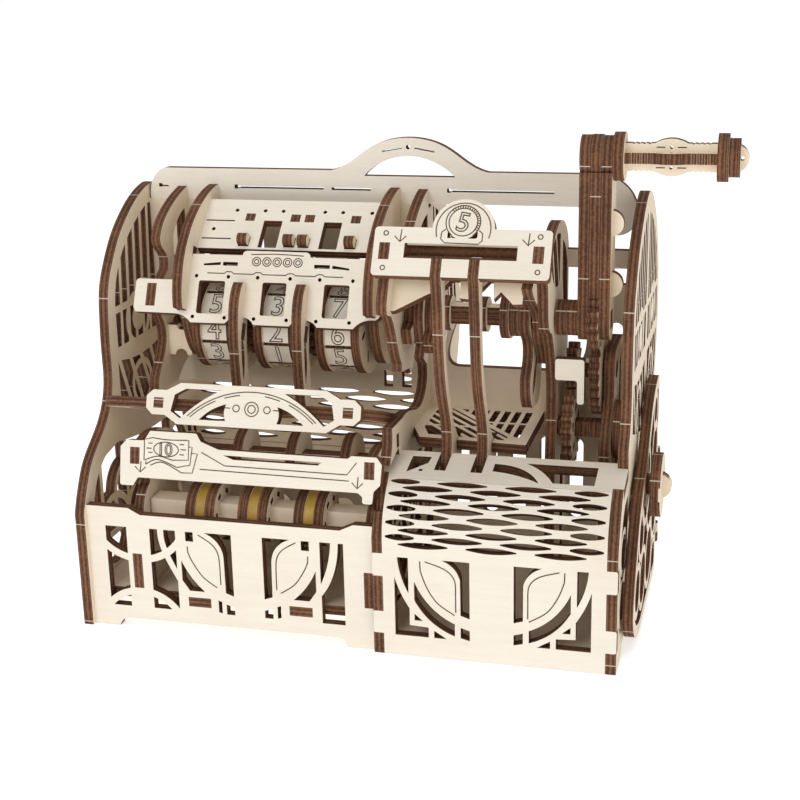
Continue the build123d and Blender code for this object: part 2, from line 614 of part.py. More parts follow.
def inner_frame():
    """The S-shaped frame beside the left panel, with a tenon through the counter face's tab."""
    tab = [COUNTER_FACE.point(15.1, SHEET), COUNTER_FACE.point(5.8, SHEET), (49, 114)]
    crest = ((72, 161.4), (62, 157.4), (54.4, 152.4), (50.8, 147.6))
    face = outline([(WALL_Y, TOP - 1)], crest, ((52.6, 143.6), (56.4, 140), (57, 134)),
                   tab, ((50, 104), (44, 96), (40, 90)), [(40, 86), (60, 86)], ((70, 92), (WALL_Y, 94)))
    holes = [outline([(64, 124), (64, 146)], ((70, 152), (78, 155.4)), [(78, 124)]), disc((62, 108), 5.5)]
    return upright(INNER_X, face - holes + COUNTER_FACE.strip(*INNER_SLOT))


def axle_plate():
    """A small plate between the inner frame and the left rib, with a round bite above and below."""
    body = rect(INNER_X + SHEET, 99, RIB_LEFT_X, 111.6)
    return Slope(52.6, 0).plate(body - disc((23.4, 111.8), 2.2) - disc((22.6, 99), 2.6))


def counter_axle():
    length = RIB_RIGHT_X + SHEET + 1 - (RIB_LEFT_X - 1)
    return upright(RIB_LEFT_X - 1, disc(COUNTER, SLIM_JOURNAL), length)


def carry_gears():
    """Two toothed plates fixed on the axle, between the digit wheels."""
    face = Pos(*COUNTER) * gear_face(14) - disc(COUNTER, SLIM_JOURNAL)
    return [upright(x, face) for x in (51.6, 77.6)]


DIGIT_X = (31.9, 57.9, 83.6)  # left faces of the three digit wheels
DRUM_WIDTH = 11.0
SIDE_DISC = 3.6


def decagon(radius, turn):
    y, z = COUNTER
    angles = [radians(turn + 36 * k) for k in range(10)]
    return polygon(*[(y + radius * cos(angle), z + radius * sin(angle)) for angle in angles])


DIGIT_TURN = 120.5           # one corner of the drum, so that a face looks out of each window


def digit_drum(x):
    """The ten-sided drum of a digit wheel: one face for each digit, with a groove between faces."""
    face = decagon(DIGIT_R, DIGIT_TURN) - decagon(DIGIT_R - 4, DIGIT_TURN) + disc(COUNTER, 8)
    for k in range(10):
        corner = Pos(*COUNTER) * Rot(0, 0, DIGIT_TURN + 36 * k)
        face = face - corner * Pos(DIGIT_R, 0) * Rectangle(3, 1.4)
        if k % 2 == 0:
            face = face + corner * Pos(9, 0) * Rectangle(12, 3)
    return upright(x + SIDE_DISC, face - disc(COUNTER, SLIM_BEARING), DRUM_WIDTH)


def digit_discs(x):
    """The round plates either side of a drum, the right one pierced by slanted slots."""
    slot = Pos(11.5, 0) * Rot(0, 0, 24) * SlotOverall(5, 1.8)
    slots = [Pos(*COUNTER) * Rot(0, 0, 60 * k) * slot for k in range(6)]
    plain = disc(COUNTER, DIGIT_R + 0.6) - disc(COUNTER, SLIM_BEARING)
    right = x + SIDE_DISC + DRUM_WIDTH
    return [upright(x, plain, SIDE_DISC), upright(right, plain - slots, SIDE_DISC)]


# ---- coin bay --------------------------------------------------------------------------------
COIN_MIDDLE = 162.6
HINGE_LINE = ((FRONT, 41), (-0.9, 47), (0.2, 53.2), (3.4, 59.4), (7.6, 64.2), HINGE_END)


def coin_box_front():
    """One sheet: a flat leaf-cut front, a slotted bend and a flat top with two rail slots."""
    x0, x1 = COIN_BAY_X - SHEET, RIGHT_X + SHEET
    body = rect(COIN_BAY_X, 0, RIGHT_X, 41)
    body = body + [soft(0.8, (x0, low), (x1, low), (x1, low + 9), (x0, low + 9)) for low in COIN_TAB_Z]
    leaf = [outline([(126.7, 40), (130.9, 40), (130.9, 25.6)], ((128.2, 32), (126.7, 40))),
            outline([(125.5, 32)], ((128, 25.3), (131.2, 19.6)),
                    [(131.2, 12.7), (138.5, 12.3), (138.5, 8.2), (125.5, 8.2)]),
            outline([(133.1, 30.7)], ((136, 25.2), (140.6, 19.8), (148.6, 14.6)), [(148.6, 9.6)],
                    ((140.5, 14), (133.1, 23))),
            polygon((133.1, 17.5), (136.3, 14.8), (133.1, 14.8)),
            polygon((140.6, 11.2), (145.5, 8.2), (140.6, 8.2)),
            outline([(143.6, 40), (154.3, 40), (154.3, 17.2), (150.8, 18.3), (150.7, 32.6)],
                    ((148.4, 37), (143.6, 40))),
            polygon((150.8, 13.4), (154.3, 12.3), (154.3, 8.2), (150.8, 9.1))]
    flat = Slope(FRONT, 0).plate(body - leaf - [mirrored(shape, COIN_MIDDLE) for shape in leaf])
    bend = bent_sheet(HINGE_LINE, COIN_BAY_X, RIGHT_X, SHEET)
    bend = bend - hinge_slots(HINGE_LINE, COIN_BAY_X, RIGHT_X, 10, (0.137, 0.944), 2.8)
    depth = COIN_TOP_DEPTH
    tab_low, tab_high = COIN_TOP_TAB
    plan = rect(COIN_BAY_X, -0.2, RIGHT_X, depth) + soft(1, (x0, tab_low), (x1, tab_low), (x1, tab_high),
                                                         (x0, tab_high))
    cuts = [rect(x - 0.2, depth - 13, x + SHEET + 0.2, depth + 1) for x in RAIL_X]
    cuts += [polygon((126.6, 4.4), (126.6, 16), (134, 16), (133.6, 11.6)), disc((131.8, 6.2), 0.8)]
    cuts += [outline([(159, 14), (159, 8.6)], ((168, 6.8), (177.5, 2.2)), ((170, 11.2), (159, 14))),
             outline([(171, 15.6), (198, 15.6), (198, 3), (182.5, 3)], ((177, 11), (171, 15.6)))]
    return flat + bend + COIN_TOP.plate(plan - cuts)


def coin_floor():
    return level(3, rect(COIN_BAY_X, 3, RIGHT_X, WALL_Y))


SLOT_TENON = (5.8, 12.3)
COIN_GAP = (126.5, 168.3, 149.7, 154.6)


def coin_slot_plate():
    """The leaning plate with the coin slot, its raised round ornament and two rail notches."""
    body = soft(1.6, (114.8, -0.4), (180.6, -0.4), (180.6, 18.4), (114.8, 18.4))
    coin = (147.5, 20.8)
    body = body + disc((147.8, 18), 11.6)
    cuts = [rect(x, SLOT_TENON[0], x + SHEET, SLOT_TENON[1]) for x in (MIDDLE_X, GEAR_IN_X)]
    cuts += [rect(x, -1, x + SHEET, 9) for x in RAIL_X]
    cuts += [rect(x, 14.6, x + 3.5, 17.2) - disc(coin, 6.5) for x in (142.1, 149.7)]
    plate = COIN_SLOT.plate(body - cuts)
    u0, u1, z0, z1 = COIN_GAP
    return plate - extrude(Plane.XZ.offset(0) * rect(u0, z0, u1, z1), -60)


def coin_shelf():
    """The level board behind the coin slot, between the middle and gear frames."""
    return level(148.2, rect(COIN_BAY_X, 29.5, GEAR_IN_X, 41))


def coin_hopper():
    """The guide plate behind the coin slot, parallel to it, with three teeth that sort the coin."""
    body = polygon((COIN_BAY_X, 8), (COIN_BAY_X, -10.8), (122.6, -10.6), (133.8, -4.2), (139.9, -1.2),
                   (142.9, 2.3), (146.4, 2.3), (146.5, -4.9), (151.3, -5.2), (154.2, -1.2), (157.2, 2.4),
                   (158.6, 2.4), (159.3, -4.9), (161.8, -1.9), (166.5, -6.5), (SWAN_X, -6.3), (SWAN_X, 8))
    return COIN_SLOT.plate(body, depth=10.5) - coin_rails()


def coin_rails():
    """Two slim curved rails that a coin rolls down, from the slot to the box top."""
    face = outline([(22.8, 149.5), COIN_SLOT.point(6.6), COIN_SLOT.point(0)],
                   ((17.2, 130), (18.6, 115), (23.2, 97), (29.4, 84), (31, 76), (28, 68)), [(28.6, 64)],
                   ((40, 62.5), (49, 66), (47, 72)),
                   ((37, 80), (29.2, 94), (23.6, 110), (22.2, 127), (22.8, 142)))
    return [upright(x, face) for x in RAIL_X]


def coin_tray():
    """The latticed tray behind the rails."""
    body = polygon((COIN_BAY_X, 52), (126, 40), (168.6, 37.4), (168.6, WALL_Y), (COIN_BAY_X, WALL_Y))
    window = polygon((125, 53), (128.6, 44), (164.6, 41.4), (164.6, 78.5), (125, 78.5))
    right = polygon((132, 82), (168, 82), (168, 46), (163, 46))
    left = polygon((122, 82), (128.4, 82), (160, 46), (160, 38), (122, 38))
    slats = bars((139, 60), (161, 60), 6, 1.8) + [rect(130, 62, 170, 64)]
    slants = bars((126, 58), (152, 58), 6, 1.8, 41) + [rect(120, 55, 150, 57)]
    rail_gap = [rect(x - 0.3, 36, x + SHEET + 0.3, 50.5) for x in RAIL_X]
    return level(70, body - ((window & right) - slats) - ((window & left) - slants) - rail_gap)


# ---- gear bay --------------------------------------------------------------------------------
IDLER_ANGLE = -60.0          # direction from the crank's shaft to the idler, in the Y Z plane
IDLER_GAP = MODULE * (CRANK_TEETH + IDLER_TEETH) / 2
IDLER = (CRANK[0] + IDLER_GAP * cos(radians(IDLER_ANGLE)),
         CRANK[1] + IDLER_GAP * sin(radians(IDLER_ANGLE)))
DRIVE_ANGLE = -104.0
DRIVE_GAP = MODULE * (PINION_TEETH + DRIVE_TEETH) / 2
DRIVE = (IDLER[0] + DRIVE_GAP * cos(radians(DRIVE_ANGLE)),
         IDLER[1] + DRIVE_GAP * sin(radians(DRIVE_ANGLE)))
GRIP_CENTRE = (CRANK[0], CRANK[1] + CRANK_REACH)
LEVER_X = 187.0              # left face of the crank's three-ply arm
DRIVE_X = 181.0


def meshed_phase(angle, teeth):
    """The phase that puts a gap of a gear towards the gear it meshes with."""
    return angle + 180 + 180 / teeth


def gear_frame_inner():
    """The tall rounded frame left of the gears."""
    face = outline([(WALL_Y, 7), (WALL_Y, 136)], ((79, 149), (69, 155.4), (54, 156.6), (42, 151)),
                   [COIN_SLOT.point(15, SHEET), COIN_SLOT.point(3, SHEET)], ((30, 134), (31, 126), (40, 118)),
                   ((47, 108), (52, 96), (52, 80), (50, 60)), [(50, 7)])
    holes = [disc(CRANK, BEARING), disc(IDLER, SLIM_BEARING), disc(DRIVE, SLIM_BEARING),
             outline([(36, 146), (44, 152)], ((52, 153.5), (60, 152)), [(58, 134)], ((48, 134), (36, 146))) -
             bars((44, 140), (54, 140), 2, 2, 20),
             outline([(66, 134), (66, 149)], ((74, 144), (79, 136)), [(79, 112), (72, 112)]),
             capsule((68, 30), (68, 60), 8), capsule((68, 14), (68, 20), 8)]
    face = face - holes + COIN_SLOT.strip(*SLOT_TENON) + disc(CRANK, BEARING + 4)
    return upright(GEAR_IN_X, face - disc(CRANK, BEARING))


def swan_plate():
    """The S-shaped plate on the left of the inner gear frame, from the coin slot past the shaft."""
    front = ((25.5, 133.6), (36, 127.6), (42.4, 122), (45, 114.5), (50.6, 108.5), (54.5, 102))
    back = ((61, 112), (58.6, 122), (53, 129.8), (42, 134.8), (32, 139.5), (26, 144))
    return upright(SWAN_X, outline([(18.5, 139.5)], front, [(60, 103)], back) - disc(CRANK, SWAN_BORE))


def gear_frame_outer():
    """The curved frame right of the gears, from the back wall down to the floor."""
    face = outline([(WALL_Y, 108), (62, 108)], ((56, 103), (55.5, 95), (53, 86), (46, 78), (44, 66)),
                   [(46, 7), (WALL_Y, 7)])
    holes = [disc(IDLER, SLIM_BEARING), disc(DRIVE, SLIM_BEARING), capsule((68, 20), (68, 60), 9),
             capsule((55, 16), (55, 54), 6), capsule((76, 84), (76, 98), 5)]
    return upright(GEAR_OUT_X, face - holes)


def arm_face(top_radius, lobe):
    """The crank arm's outline: a long bar with a round lobe on the shaft."""
    body = Pos(*CRANK) * outline([(-7.6, 2)], ((-7.4, 24), (-7, 56)), [(7, 56)], ((7.4, 24), (7.6, 2)))
    return body + disc(CRANK, lobe) + disc(GRIP_CENTRE, top_radius) - Pos(*CRANK) * Rectangle(SHAFT, SHAFT)


SECTOR_PHASE = meshed_phase(IDLER_ANGLE + 180, CRANK_TEETH)


def crank_arms():
    """The left and right plies of the crank arm."""
    return upright(LEVER_X, arm_face(7.8, 8.2)), upright(LEVER_X + 2 * SHEET, arm_face(7.6, 8.0))


def crank_sector():
    """The middle ply, whose lobe is cut as a gear."""
    gear = Pos(*CRANK) * gear_face(CRANK_TEETH, SECTOR_PHASE)
    face = arm_face(8.0, 9) - disc(CRANK, MODULE * CRANK_TEETH / 2 + 1.4) + gear
    neck = rect(CRANK[0] - 6, CRANK[1] + 8, CRANK[0] + 6, CRANK[1] + 30)
    return upright(LEVER_X + SHEET, face + neck - Pos(*CRANK) * Rectangle(SHAFT, SHAFT))


GRIP_X = (LEVER_X + 4 * SHEET, 236.0)


def grip_half(x0, x1):
    """Half of a grip plate's outline from its middle line, with finger notches and a bulge."""
    bulge = (x0 + x1) / 2
    body = outline([(x0, -2), (x0, 5.1), (bulge - 6, 5.1)], ((bulge, 6.8), (bulge + 6, 5.1)),
                   [(x1, 5.1), (x1, -2)])
    notches = [disc((bulge + side * (7.8 + 1.9 * k), 5.4), 0.6) for side in (-1, 1) for k in range(4)]
    marks = [rect(bulge - 5.4, 3.5, bulge - 2.2, 3.9), rect(bulge + 2.2, 3.5, bulge + 5.4, 3.9)]
    return body - notches - marks - disc((bulge, 3.7), 0.6)


GRIP_TIP = CENTRE[0] + 125.5  # outer end of the grip, the part's right-hand limit


def grip_plates():
    """Two plates crossed along the grip; the upright one passes through, the flat one is in halves."""
    x0, x1 = GRIP_X
    half = grip_half(x0, x1) - rect(x0 - 1, -3, x1 + 1, 0)
    shape = half + mirror(half, about=Plane.XZ)
    lug = rect(x1 - 1, -3, GRIP_TIP - 5, 3) + disc((GRIP_TIP - 5, 0), 5) - disc((GRIP_TIP - 2.4, 0), 0.8)
    y, z = GRIP_CENTRE
    fin = Slope(y - SHEET / 2, z).plate(shape + lug)
    flat = level(z - SHEET / 2, Pos(0, y) * shape)
    gap = Pos((x0 + x1) / 2, y, z) * Box(x1 - x0 + 2, SHEET, SHEET + 2)
    return fin, flat - gap


def grip_discs():
    """The collar beside the arm and the two discs at the grip's outer end."""
    slot = Pos(*GRIP_CENTRE) * Rectangle(SHEET, 10)
    return [upright(LEVER_X + 3 * SHEET, disc(GRIP_CENTRE, 8.9)),
            upright(GRIP_X[1], disc(GRIP_CENTRE, 8.7) - slot),
            upright(GRIP_X[1] + SHEET, disc(GRIP_CENTRE, 7.0) - slot)]


def crank_pins():
    """Two round-headed pins that tie the arm's plies, seen edge to the front."""
    made = []
    for z in (CRANK[1] + 36.7, CRANK[1] + 13.6):
        head = Slope(CRANK[0] - SHEET / 2, z).plate(disc((LEVER_X + 3 * SHEET - 0.8, 0), 4.9))
        made.append(head - Pos(LEVER_X + 1.5 * SHEET, CRANK[0], z) * Box(3 * SHEET, 30, 30))
    return made


def crank_shaft():
    x0, x1 = COIN_BAY_X - SHEET - 6, LEVER_X + 3 * SHEET
    return square_shaft(x0, x1, CRANK, SHAFT, (MIDDLE_X, GEAR_IN_X), JOURNAL)


SPACERS = ((134.4, 6.8), (148.6, 6.8), (157.6, 9.0), (161.2, 8.0))


def shaft_discs():
    made = [disc_on(x, CRANK, radius, SHAFT, 3.4) for x, radius in SPACERS]
    made += [disc_on(x, CRANK, 6.8, SHAFT) for x in (178.6, 182.8)]
    return made


def coin_cam():
    """Three stacked plates on the crank's shaft that knock the coin off the rails."""
    made = []
    for x, radius, turn in ((121.7, 12.5, 200), (125.6, 15.0, 235), (129.5, 12.5, 215)):
        tooth = Pos(*CRANK) * Rot(0, 0, turn) * Pos(radius + 1, 0) * Rectangle(9, 7)
        face = disc(CRANK, radius) + tooth - Pos(*CRANK) * Rectangle(SHAFT, SHAFT)
        made.append(upright(x, face, 3.8))
    return made


def idler_gears():
    """The compound idler: the large gear meets the crank, the small one meets the drive gear."""
    large = Pos(*IDLER) * gear_face(IDLER_TEETH, IDLER_ANGLE + 180)
    small = Pos(*IDLER) * gear_face(PINION_TEETH, meshed_phase(DRIVE_ANGLE + 180, PINION_TEETH))
    square = Pos(*IDLER) * Rectangle(SLIM, SLIM)
    return upright(LEVER_X + SHEET, large - square), upright(DRIVE_X, small - square)


def idler_shaft():
    x0, x1 = GEAR_IN_X + 0.4, GEAR_OUT_X + SHEET - 0.4
    return square_shaft(x0, x1, IDLER, SLIM, (GEAR_IN_X, GEAR_OUT_X), SLIM_JOURNAL)


def drive_gear():
    face = Pos(*DRIVE) * gear_face(DRIVE_TEETH, DRIVE_ANGLE + 180)
    holes = [Pos(*DRIVE) * Rot(0, 0, 72 * k + 20) * Pos(8.2, 0) * Circle(1.9) for k in range(5)]
    return upright(DRIVE_X, face - Pos(*DRIVE) * Rectangle(SLIM, SLIM) - holes)


def drive_shaft():
    x1 = RIGHT_X - SIDE_GAP
    return square_shaft(GEAR_IN_X + 0.4, x1, DRIVE, SLIM, (GEAR_IN_X, GEAR_OUT_X), SLIM_JOURNAL)


def drive_spool():
    """The disc on the drive shaft between the outer gear frame and the side panel."""
    return disc_on(GEAR_OUT_X + SHEET + SIDE_GAP, DRIVE, 11.5, SLIM, 3.6)


def swing_lever():
    """The coin feeler, hung on the crank's shaft, with a drop-shaped weight at its foot."""
    face = outline([(44, 131)],
                   ((41.6, 126), (42, 118), (49, 111), (49, 104.5), (44, 98.5), (45, 90), (56, 84.8)),
                   ((68, 88), (71, 98), (64, 107), (59.5, 117), (57, 129)), ((51, 132.5), (44, 131)))
    slit = outline([(50, 90)], ((52, 98), (59, 104)), ((57, 96), (50, 90)))
    return upright(SWING_X, face - slit - disc(CRANK, SWAN_BORE))


def brace_bar():
    """A short bar across the gear bay, let into the front of the back wall's top edge."""
    return WALL.plate(rect(GEAR_IN_X + SHEET, 135.4, RIGHT_X, 142.6), depth=-SHEET)


def corner_bracket():
    """The small angle plate on the front edge of the inner gear frame."""
    x = GEAR_IN_X + SHEET
    body = soft(1, (x, 105.8), (189.2, 105.8), (189.2, 88), (186.5, 88), (186.5, 97.4), (x, 97.4))
    return Slope(48.6, 0).plate(body)


# ---- side door -------------------------------------------------------------------------------
DOOR_BACK = 98.4


def side_door():
    body = outline([(DOOR_BACK, 2), (DOOR_BACK, 84)], ((95, 88), (88, 88.6), (67, 81.5), (54, 69.5), (40, 62),
                   (25, 51.5), (15, 38), (8, 24)), ((7.6, 18), (12, 11), (22, 5), (34, 2)))
    crest = ((90, 84), (84, 83), (70, 76.8), (58, 66.5), (43, 58.4), (28.6, 48), (18.8, 34.4), (12.2, 22))
    rim = outline([(94.4, 6), (94.4, 80)], crest, ((13.8, 17), (24, 9), (36, 6)))
    web = [ring((22, 24), 9.5, 3), ring((42, 21), 11.5, 3), ring((66, 21), 12.5, 3), ring((86, 32), 10, 3),
           ring((84, 60), 10.5, 3), ring((66, 45), 12, 3), disc(KNOB, 9.5), ring(KNOB, 15, 3),
           ring((34, 42), 9, 3), ring((87, 10), 9, 3), ring((84, 76), 7, 2.6)]
    return upright(DOOR_X, body - (rim - web) - disc(KNOB, JOURNAL + RUN))


PIN_R = 1.2
LUG_R = 2.7


def door_knuckles():
    """Two rounded lugs on the door's rear edge that turn on the pin."""
    x, y = HINGE_PIN
    lug = disc(HINGE_PIN, LUG_R) + rect(x - 1.9, DOOR_BACK, x + 1.9, y)
    return [level(z, lug - disc(HINGE_PIN, PIN_R + RUN)) for z in (16.6, 46)]


def door_brackets():
    """Two lugs on the side panel that hold the pin, above and below the knuckles."""
    x, y = HINGE_PIN
    lug = disc(HINGE_PIN, LUG_R) + rect(RIGHT_X + SHEET, y - LUG_R, x, y + LUG_R) - disc(HINGE_PIN, PIN_R)
    return [level(z, lug) for z in (12.2, 50.4)]


def door_pin():
    return level(10, disc(HINGE_PIN, PIN_R), 47)


def door_knob():
    """A round knob with a fin to turn it by, and a spindle whose off-centre peg wedges in the door way."""
    y, z = KNOB
    front, panel = DOOR_X + SHEET + 2, RIGHT_X + SHEET
    plate = upright(front, disc(KNOB, 12.5))
    fin_disc = disc((front + SHEET - 1.4, 0), 5) - rect(front - 9, -9, front + SHEET, 9)
    fin = Slope(y - SHEET / 2, z).plate(fin_disc)
    spindle = upright(panel + 0.3, disc(KNOB, JOURNAL), front - panel - 0.3)
    return plate, fin, spindle


# ---- make every node -------------------------------------------------------------------------
def build():
    keep("left_side_panel", left_panel())
    keep("middle_panel", middle_panel())
    keep("right_side_panel", right_panel())
    keep("carry_handle_plate", carry_handle_plate())
    keep("left_back_wall", left_back_wall())
    keep("right_back_wall", right_back_wall())
    keep("rear_cover", rear_cover())
    keep("note_box_front", note_box_front())
    keep("note_floor", note_floor())
    keep("left_roller_frame", roller_frame(ROLLER_LEFT_X))
    keep("right_roller_frame", roller_frame(ROLLER_RIGHT_X))
    keep("note_slot_plate", note_slot_plate())
    keep("nameplate", nameplate())
    keep("nameplate_shelf", nameplate_shelf())
    keep("note_chute", note_chute())
    keep("feed_shaft", feed_shaft())
    keep("feed_roller_discs", *feed_discs())
    keep("feed_roller_bands", *feed_bands())
    keep("press_shaft", press_shaft())
    keep("press_wheels", *press_wheels())
    keep("left_counter_rib", rib(RIB_LEFT_X))
    keep("right_counter_rib", rib(RIB_RIGHT_X))
    keep("left_digit_guard", guard(GUARD_X[0]))
    keep("right_digit_guard", guard(GUARD_X[1]))
    keep("counter_face_plate", counter_face_plate())
    keep("roof_plate", roof_plate())
    keep("roof_pawls", *roof_pawls())
    keep("inner_frame", inner_frame(), axle_plate())
    keep("counter_axle", counter_axle(), *carry_gears())
    for name, x in zip(("hundreds", "tens", "units"), DIGIT_X):
        keep(f"{name}_drum", digit_drum(x))
        keep(f"{name}_discs", *digit_discs(x))
    keep("coin_box_front", coin_box_front())
    keep("coin_floor", coin_floor())
    keep("coin_slot_plate", coin_slot_plate())
    keep("coin_hopper", coin_hopper(), coin_shelf())
    keep("coin_rails", *coin_rails())
    keep("coin_tray", coin_tray())
    keep("gear_frame_inner", gear_frame_inner(), swan_plate())
    keep("gear_frame_outer", gear_frame_outer())
    keep("crank_arm_plies", *crank_arms())
    keep("crank_arm_sector", crank_sector())
    keep("crank_grip", *grip_plates(), *grip_discs())
    keep("crank_pins", *crank_pins())
    keep("crank_shaft", crank_shaft())
    keep("crank_spacers", *shaft_discs())
    keep("coin_cam", *coin_cam())
    keep("idler_gears", *idler_gears())
    keep("idler_shaft", idler_shaft())
    keep("drive_gear", drive_gear())
    keep("drive_shaft", drive_shaft(), drive_spool())
    keep("swing_lever", swing_lever())
    keep("brace_bar", brace_bar())
    keep("corner_bracket", corner_bracket())
    keep("side_door", side_door(), *door_knuckles())
    keep("door_hinge", *door_brackets(), door_pin())
    keep("door_knob", *door_knob())


build()
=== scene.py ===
from math import cos, pi, radians, sin

import bmesh
import bpy
from mathutils import Matrix, Vector


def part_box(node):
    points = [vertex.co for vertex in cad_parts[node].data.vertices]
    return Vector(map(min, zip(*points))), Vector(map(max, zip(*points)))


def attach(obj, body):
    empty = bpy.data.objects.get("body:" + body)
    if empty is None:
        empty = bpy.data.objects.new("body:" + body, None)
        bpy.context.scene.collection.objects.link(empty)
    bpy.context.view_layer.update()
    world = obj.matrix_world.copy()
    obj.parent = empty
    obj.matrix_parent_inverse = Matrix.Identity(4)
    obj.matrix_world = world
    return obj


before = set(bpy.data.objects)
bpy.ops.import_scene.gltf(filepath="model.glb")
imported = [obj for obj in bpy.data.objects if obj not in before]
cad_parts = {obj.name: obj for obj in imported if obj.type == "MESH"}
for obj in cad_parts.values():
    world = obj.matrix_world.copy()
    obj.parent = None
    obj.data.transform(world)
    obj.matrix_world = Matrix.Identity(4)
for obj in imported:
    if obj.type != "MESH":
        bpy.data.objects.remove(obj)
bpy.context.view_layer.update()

# The looks of a toy cash register of laser-cut plywood.  Every plate keeps its CAD shape and gets
# a plywood material: pale birch on its two faces, burnt brown laminations on its cut edges.
# Engraved lines and digits are thin dark ribbons that lie on the plates.

MM = 0.001
SHEET = 4.0                  # plywood thickness, millimetres
PALE = (0.825, 0.755, 0.645)     # colours are linear
TAN = (0.66, 0.50, 0.32)
BURNT = (0.070, 0.029, 0.015)
BURNT_LIGHT = (0.215, 0.098, 0.048)
LINE = (0.055, 0.030, 0.020)

# The layout is drawn in millimetres, with X from the left panel's inner face, Y from just behind
# the front edge and Z up.  Its origin in the frame comes from the left panel's box.
LEFT_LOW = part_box("left_side_panel")[0]
ORIGIN = Vector((LEFT_LOW.x + SHEET * MM, LEFT_LOW.y + 1 * MM, 0))

CRANK = (50.0, 122.0)
GRIP_Z = 183.2
COUNTER = (60.5, 111.4)


def place(x, y, z):
    """A layout point, in the frame's metres."""
    return ORIGIN + Vector((x, y, z)) * MM


# ---- materials -------------------------------------------------------------------------------
class Graph:
    """A short way to build a shader's nodes."""

    def __init__(self, name):
        self.material = bpy.data.materials.new(name)
        self.material.use_nodes = True
        self.tree = self.material.node_tree
        self.shader = self.tree.nodes["Principled BSDF"]

    def node(self, kind, **settings):
        made = self.tree.nodes.new(kind)
        for key, value in settings.items():
            setattr(made, key, value)
        return made

    def link(self, source, target):
        self.tree.links.new(source, target)

    def feed(self, socket, value):
        if isinstance(value, bpy.types.NodeSocket):
            self.link(value, socket)
        else:
            socket.default_value = value

    def math(self, operation, a, b=0.0, clamp=False):
        made = self.node("ShaderNodeMath", operation=operation, use_clamp=clamp)
        self.feed(made.inputs[0], a)
        self.feed(made.inputs[1], b)
        return made.outputs[0]

    def vector(self, operation, a, b=(0, 0, 0)):
        made = self.node("ShaderNodeVectorMath", operation=operation)
        self.feed(made.inputs[0], a)
        self.feed(made.inputs[1], b)
        return made.outputs["Value" if operation in ("DOT_PRODUCT", "LENGTH") else "Vector"]

    def split(self, vector):
        made = self.node("ShaderNodeSeparateXYZ")
        self.link(vector, made.inputs[0])
        return made.outputs

    def join(self, x, y, z):
        made = self.node("ShaderNodeCombineXYZ")
        for socket, value in zip(made.inputs, (x, y, z)):
            self.feed(socket, value)
        return made.outputs[0]

    def remap(self, value, low, high, to_low=0.0, to_high=1.0, smooth=False):
        made = self.node("ShaderNodeMapRange", interpolation_type="SMOOTHSTEP" if smooth else "LINEAR")
        for socket, setting in zip(made.inputs, (value, low, high, to_low, to_high)):
            self.feed(socket, setting)
        return made.outputs[0]

    def noise(self, vector, scale, detail=3.0, rough=0.55):
        made = self.node("ShaderNodeTexNoise")
        self.link(vector, made.inputs["Vector"])
        made.inputs["Scale"].default_value = scale
        made.inputs["Detail"].default_value = detail
        made.inputs["Roughness"].default_value = rough
        return made.outputs["Fac"]

    def mix(self, factor, a, b):
        made = self.node("ShaderNodeMix", data_type="RGBA")
        self.feed(made.inputs[0], factor)
        self.feed(made.inputs[6], (*a, 1) if isinstance(a, tuple) else a)
        self.feed(made.inputs[7], (*b, 1) if isinstance(b, tuple) else b)
        return made.outputs[2]


def fixed_axis(direction):
    """The same plate axis all over the node."""
    return lambda graph, position: direction


def bending_axis(levels):
    """A sheet whose axis tips from the front towards up, given as (height in mm, degrees) pairs."""
    def build(graph, position):
        z = graph.split(position)[2]
        angle = None
        for (z0, a0), (z1, a1) in zip(levels, levels[1:]):
            step = graph.remap(z, z0 * MM, z1 * MM, 0.0, radians(a1 - a0))
            angle = step if angle is None else graph.math("ADD", angle, step)
        angle = graph.math("ADD", angle, radians(levels[0][1]))
        toward_front = graph.math("MULTIPLY", graph.math("COSINE", angle), -1.0)
        return graph.join(0.0, toward_front, graph.math("SINE", angle))
    return build


GRAIN_STRETCH = {"X": (7, 90, 90), "Y": (90, 7, 90), "Z": (90, 90, 7)}
NICK_PITCH = 41.5            # between the short pale marks across an edge, millimetres
SEAM = (0.03, 0.013, 0.008)  # the dark line between two plies


